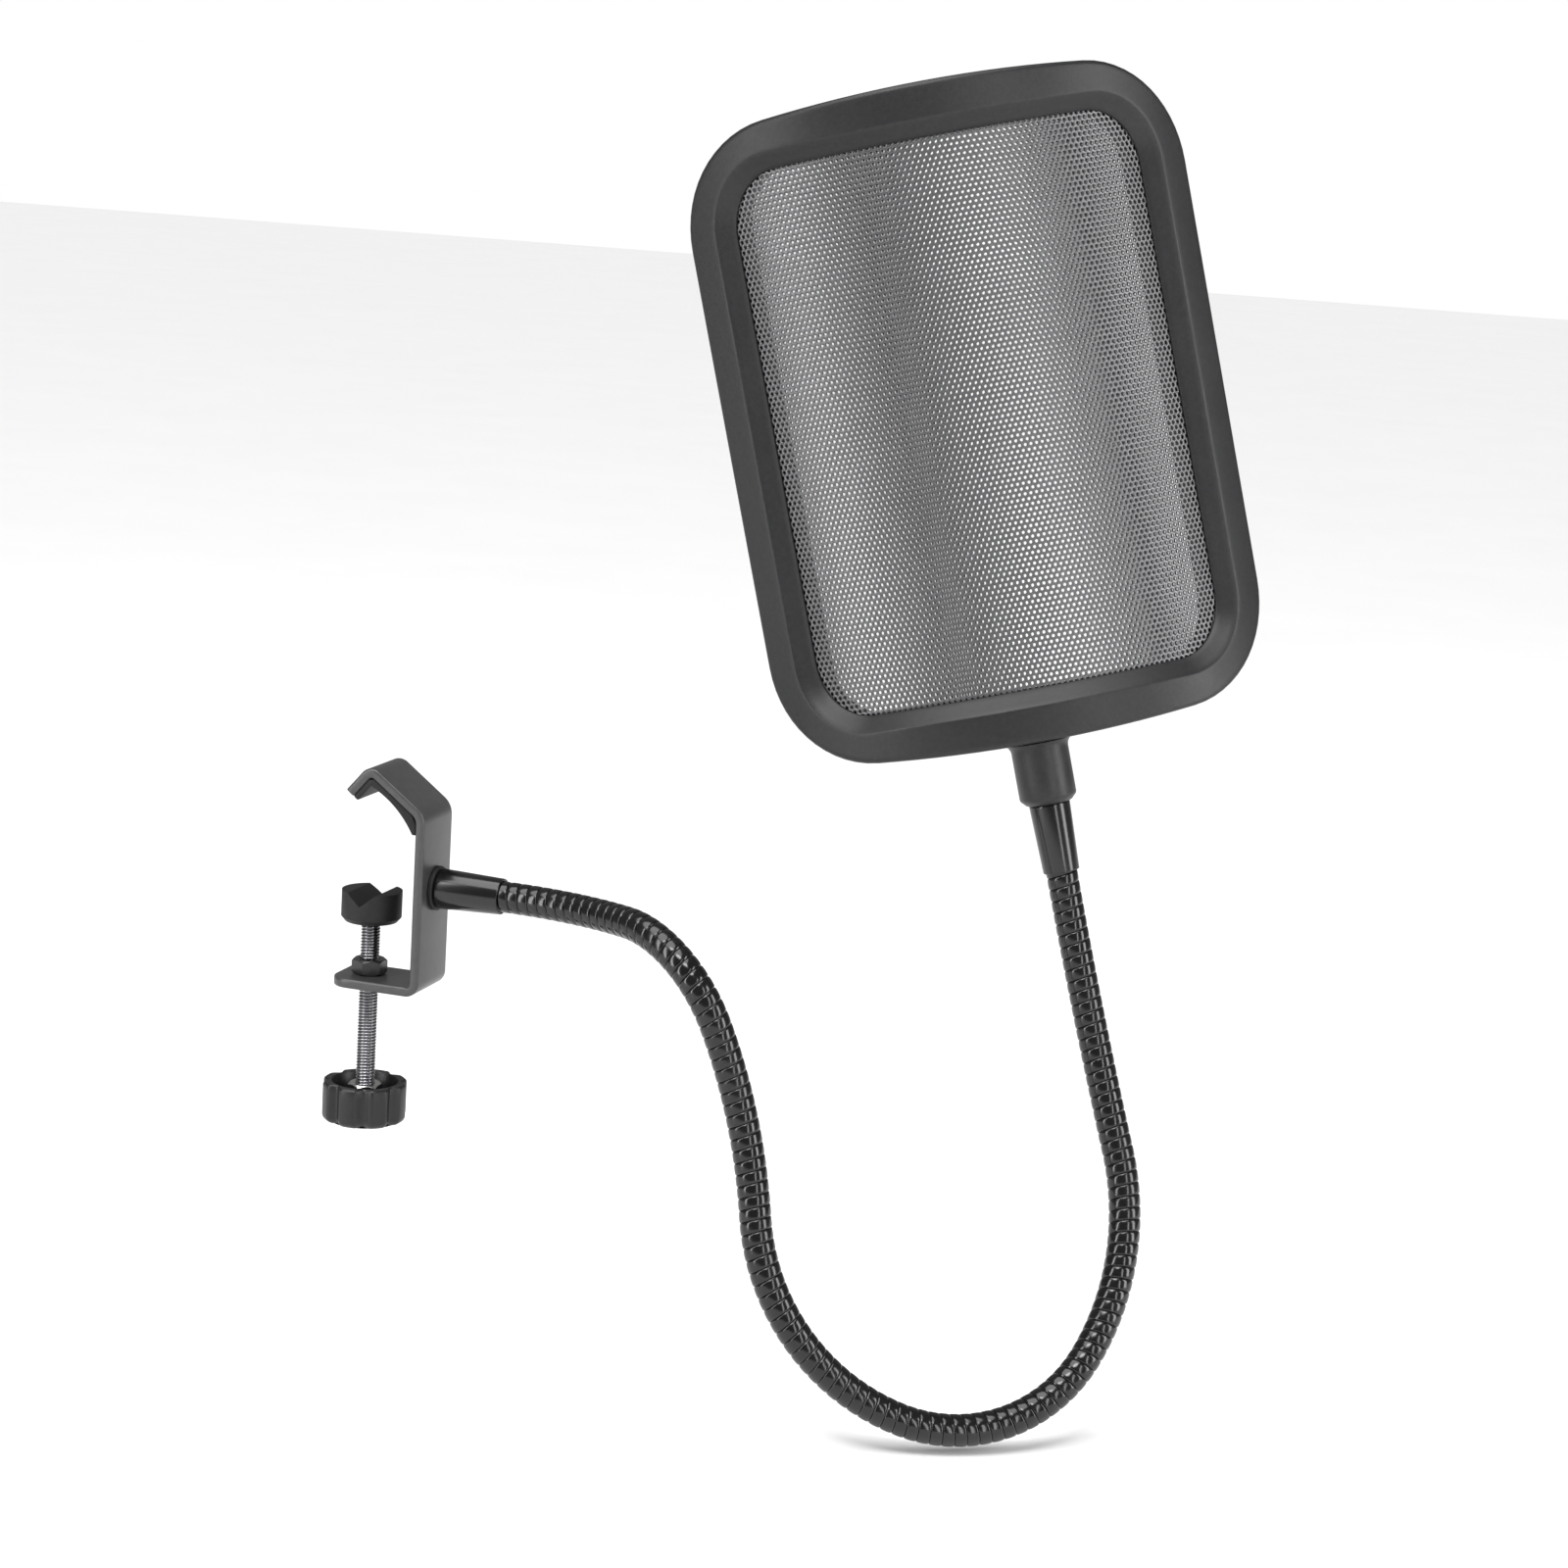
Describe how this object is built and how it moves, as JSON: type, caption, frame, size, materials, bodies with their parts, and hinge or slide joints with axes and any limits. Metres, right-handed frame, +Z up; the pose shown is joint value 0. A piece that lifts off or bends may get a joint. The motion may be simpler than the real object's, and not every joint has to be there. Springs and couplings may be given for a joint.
{
  "type": "pop filter",
  "caption": "Curved metal mesh screen in a rounded frame, carried by a flexible gooseneck with a hooked screw clamp, to soften breath blasts on a microphone.",
  "frame": {"origin": "middle of the clamp's jaw, on the clamp screw's axis, where the gripped tube's centre lies", "axes": "+Z up the clamp screw's axis towards the hook, +X from the jaw towards the gooseneck, +Y across the clamp strap and along the gripped tube"},
  "size_m": [0.2202, 0.1155, 0.3349],
  "materials": {
    "bracket_paint": "satin dark grey paint",
    "rubber": "matte",
    "black_hardware": "black oxide",
    "bright_hardware": "zinc plated",
    "dark_steel": "dark, oiled",
    "knob_plastic": "satin",
    "ferrule_black": "gloss black",
    "neck_black": "semi-gloss black",
    "frame_plastic": "fine satin texture",
    "mesh_steel": "grey perforated sheet"
  },
  "bodies": {
    "clamp": {"clamp_bracket": "bracket_paint", "jaw_liner": "rubber", "clamp_nut": "black_hardware", "base_screw": "black_hardware", "base_washer": "rubber"},
    "pad": {"pressure_pad": "rubber", "pad_clip": "bright_hardware"},
    "screw": {"clamp_screw": "dark_steel", "knob": "knob_plastic", "knob_nut": "bright_hardware"},
    "neck_1": {"base_ferrule": "ferrule_black", "neck_wire_1": "neck_black", "neck_coil_1": "dark_steel"},
    "neck_2": {"neck_wire_2": "neck_black", "neck_coil_2": "dark_steel"},
    "neck_3": {"neck_wire_3": "neck_black", "neck_coil_3": "dark_steel"},
    "neck_4": {"neck_wire_4": "neck_black", "neck_coil_4": "dark_steel"},
    "neck_5": {"neck_wire_5": "neck_black", "neck_coil_5": "dark_steel"},
    "neck_6": {"neck_wire_6": "neck_black", "neck_coil_6": "dark_steel"},
    "neck_7": {"neck_wire_7": "neck_black", "neck_coil_7": "dark_steel", "top_ferrule": "ferrule_black"},
    "shield": {"rear_frame": "frame_plastic", "front_bezel": "frame_plastic", "front_mesh": "mesh_steel", "rear_mesh": "mesh_steel", "mesh_spacer": "rubber"}
  },
  "joints": [
    {"name": "pad_travel", "type": "slide", "parent": "clamp", "child": "pad", "axis": [0, 0, 1], "range_m": [-0.0095, 0.0215]},
    {"name": "screw_turn", "type": "hinge", "parent": "pad", "child": "screw", "pos_m": [0, 0, -0.037], "axis": [0, 0, 1], "range_deg": [-4270, 9670]},
    {"name": "arm_swivel", "type": "hinge", "parent": "clamp", "child": "neck_1", "pos_m": [0.0188, 0, -0.0098], "axis": [1, 0, 0], "range_deg": [-60, 60]},
    {"name": "bend_1", "type": "hinge", "parent": "neck_1", "child": "neck_2", "pos_m": [0.07354, -0.01058, -0.00943], "axis": [0.5077, 0.8197, -0.2653], "range_deg": [-15, 25]},
    {"name": "bend_2", "type": "hinge", "parent": "neck_2", "child": "neck_3", "pos_m": [0.10137, -0.02049, -0.02973], "axis": [0.8538, 0.3481, 0.387], "range_deg": [-20, 20]},
    {"name": "bend_3", "type": "hinge", "parent": "neck_3", "child": "neck_4", "pos_m": [0.11531, -0.02377, -0.07476], "axis": [-0.2802, 0.9215, -0.2689], "range_deg": [-12, 20]},
    {"name": "bend_4", "type": "hinge", "parent": "neck_4", "child": "neck_5", "pos_m": [0.15361, -0.02023, -0.12113], "axis": [-0.3899, 0.9077, -0.1549], "range_deg": [-12, 20]},
    {"name": "bend_5", "type": "hinge", "parent": "neck_5", "child": "neck_6", "pos_m": [0.1928, 0.0093, -0.108], "axis": [-0.8552, -0.1699, 0.4896], "range_deg": [-20, 20]},
    {"name": "bend_6", "type": "hinge", "parent": "neck_6", "child": "neck_7", "pos_m": [0.19202, 0.03097, -0.06119], "axis": [-0.2607, 0.9211, -0.2891], "range_deg": [-12, 20]},
    {"name": "shield_turn", "type": "hinge", "parent": "neck_7", "child": "shield", "pos_m": [0.16588, 0.03917, 0.0233], "axis": [-0.2603, 0.0246, 0.9652], "range_deg": [-60, 60]}
  ],
  "couplings": [
    {"joint": "pad_travel", "follows": "screw_turn", "m_per_rad": 0.00012732}
  ]
}
